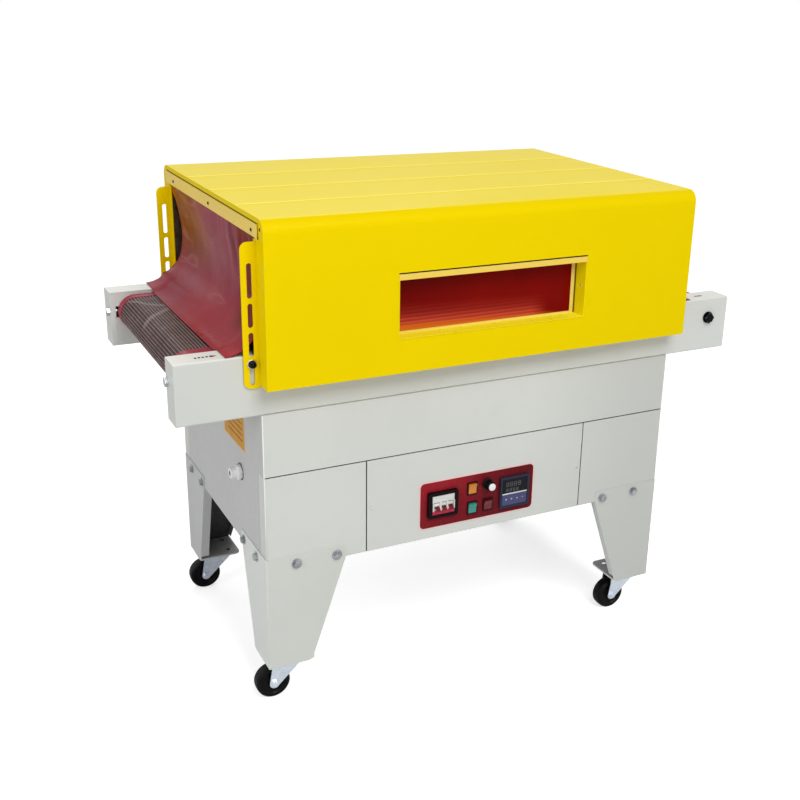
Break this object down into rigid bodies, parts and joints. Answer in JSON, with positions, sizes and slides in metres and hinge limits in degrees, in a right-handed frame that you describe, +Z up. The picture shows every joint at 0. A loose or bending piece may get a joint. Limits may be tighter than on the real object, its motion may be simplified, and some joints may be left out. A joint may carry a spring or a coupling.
{
  "type": "heat shrink tunnel with belt conveyor on casters",
  "caption": "Heat shrink tunnel: yellow hood with a side window and end curtains over a mesh belt conveyor, on a sheet steel cabinet with tapered legs and swivel casters.",
  "frame": {"origin": "on the floor under the middle of the machine", "axes": "+X along the conveyor from entry to exit, -Y towards the operator, +Z up"},
  "size_m": [1.313, 0.698, 1.05],
  "materials": {
    "cream_paint": "satin",
    "yellow_paint": "gloss",
    "red_plate": "gloss",
    "zinc_steel": "zinc plated",
    "bare_steel": "turned",
    "liner_steel": "heat tinted sheet",
    "black_steel": "blackened",
    "belt_mesh": "coated open mesh",
    "belt_band": "coated woven band",
    "curtain_sheet": "translucent silicone",
    "tinted_glass": "red tinted",
    "wheel_rubber": "matte",
    "black_plastic": "fine grain",
    "white_plastic": "moulded",
    "grey_plastic": "moulded",
    "toggle_red": "moulded",
    "rocker_orange": "translucent lens",
    "rocker_green": "translucent lens",
    "rocker_red": "translucent lens"
  },
  "bodies": {
    "machine": {"front_beam": "cream_paint", "back_beam": "cream_paint", "beam_covers": "cream_paint", "front_header": "cream_paint", "rear_header": "cream_paint", "front_left_panel": "cream_paint", "front_right_panel": "cream_paint", "rear_panels": "cream_paint", "control_door": "cream_paint", "left_end_panel": "cream_paint", "right_end_panel": "cream_paint", "cabinet_deck": "cream_paint", "cabinet_floor": "cream_paint", "leg_front_left": "cream_paint", "leg_front_right": "cream_paint", "leg_rear_left": "cream_paint", "leg_rear_right": "cream_paint", "hood_skin": "yellow_paint", "hood_end_left": "yellow_paint", "hood_end_right": "yellow_paint", "window_frame": "yellow_paint", "slotted_plates": "yellow_paint", "curtain_clamps": "yellow_paint", "hood_liner": "liner_steel", "control_plate": "red_plate", "tension_bolts": "zinc_steel", "leg_bolts": "zinc_steel", "caster_top_plates": "zinc_steel", "tail_roller": "bare_steel", "drive_roller": "bare_steel", "bearing_blocks": "bare_steel", "carry_rods": "bare_steel", "drive_shaft_end": "black_steel", "hood_bolts": "black_steel", "conveyor_belt": "belt_mesh", "belt_edges": "belt_band", "entry_curtain": "curtain_sheet", "exit_curtain": "curtain_sheet", "window_glass": "tinted_glass", "breaker_bezel": "black_plastic", "switch_housings": "black_plastic", "temperature_controller": "black_plastic", "breaker_body": "white_plastic", "cable_gland": "grey_plastic"},
    "caster_fork_front_left": {"caster_fork_front_left": "zinc_steel"},
    "caster_wheel_front_left": {"caster_wheel_front_left": "wheel_rubber"},
    "caster_fork_front_right": {"caster_fork_front_right": "zinc_steel"},
    "caster_wheel_front_right": {"caster_wheel_front_right": "wheel_rubber"},
    "caster_fork_rear_left": {"caster_fork_rear_left": "zinc_steel"},
    "caster_wheel_rear_left": {"caster_wheel_rear_left": "wheel_rubber"},
    "caster_fork_rear_right": {"caster_fork_rear_right": "zinc_steel"},
    "caster_wheel_rear_right": {"caster_wheel_rear_right": "wheel_rubber"},
    "rocker_orange": {"rocker_orange": "rocker_orange"},
    "rocker_green": {"rocker_green": "rocker_green"},
    "rocker_red": {"rocker_red": "rocker_red"},
    "breaker_toggle": {"breaker_toggle": "toggle_red"},
    "speed_knob": {"speed_knob": "black_plastic"}
  },
  "joints": [
    {"name": "swivel_front_left", "type": "hinge", "parent": "machine", "child": "caster_fork_front_left", "pos_m": [-0.4375, -0.2575, 0.087], "axis": [0, 0, 1], "continuous": true},
    {"name": "wheel_spin_front_left", "type": "hinge", "parent": "caster_fork_front_left", "child": "caster_wheel_front_left", "pos_m": [-0.467, -0.2575, 0.0375], "axis": [0, 1, 0], "continuous": true},
    {"name": "swivel_front_right", "type": "hinge", "parent": "machine", "child": "caster_fork_front_right", "pos_m": [0.4375, -0.2575, 0.087], "axis": [0, 0, 1], "continuous": true},
    {"name": "wheel_spin_front_right", "type": "hinge", "parent": "caster_fork_front_right", "child": "caster_wheel_front_right", "pos_m": [0.408, -0.2575, 0.0375], "axis": [0, 1, 0], "continuous": true},
    {"name": "swivel_rear_left", "type": "hinge", "parent": "machine", "child": "caster_fork_rear_left", "pos_m": [-0.4375, 0.2575, 0.087], "axis": [0, 0, 1], "continuous": true},
    {"name": "wheel_spin_rear_left", "type": "hinge", "parent": "caster_fork_rear_left", "child": "caster_wheel_rear_left", "pos_m": [-0.467, 0.2575, 0.0375], "axis": [0, 1, 0], "continuous": true},
    {"name": "swivel_rear_right", "type": "hinge", "parent": "machine", "child": "caster_fork_rear_right", "pos_m": [0.4375, 0.2575, 0.087], "axis": [0, 0, 1], "continuous": true},
    {"name": "wheel_spin_rear_right", "type": "hinge", "parent": "caster_fork_rear_right", "child": "caster_wheel_rear_right", "pos_m": [0.408, 0.2575, 0.0375], "axis": [0, 1, 0], "continuous": true},
    {"name": "rocker_orange_tip", "type": "hinge", "parent": "machine", "child": "rocker_orange", "pos_m": [-0.017, -0.3045, 0.422], "axis": [1, 0, 0], "range_deg": [-16, 0]},
    {"name": "rocker_green_tip", "type": "hinge", "parent": "machine", "child": "rocker_green", "pos_m": [-0.016, -0.3045, 0.3755], "axis": [1, 0, 0], "range_deg": [-16, 0]},
    {"name": "rocker_red_tip", "type": "hinge", "parent": "machine", "child": "rocker_red", "pos_m": [0.023, -0.3045, 0.3765], "axis": [1, 0, 0], "range_deg": [-16, 0]},
    {"name": "breaker_throw", "type": "hinge", "parent": "machine", "child": "breaker_toggle", "pos_m": [-0.0905, -0.3095, 0.4015], "axis": [1, 0, 0], "range_deg": [-70, 0]},
    {"name": "knob_turn", "type": "hinge", "parent": "machine", "child": "speed_knob", "pos_m": [0.02, -0.3055, 0.427], "axis": [0, -1, 0], "range_deg": [-150, 150]}
  ]
}
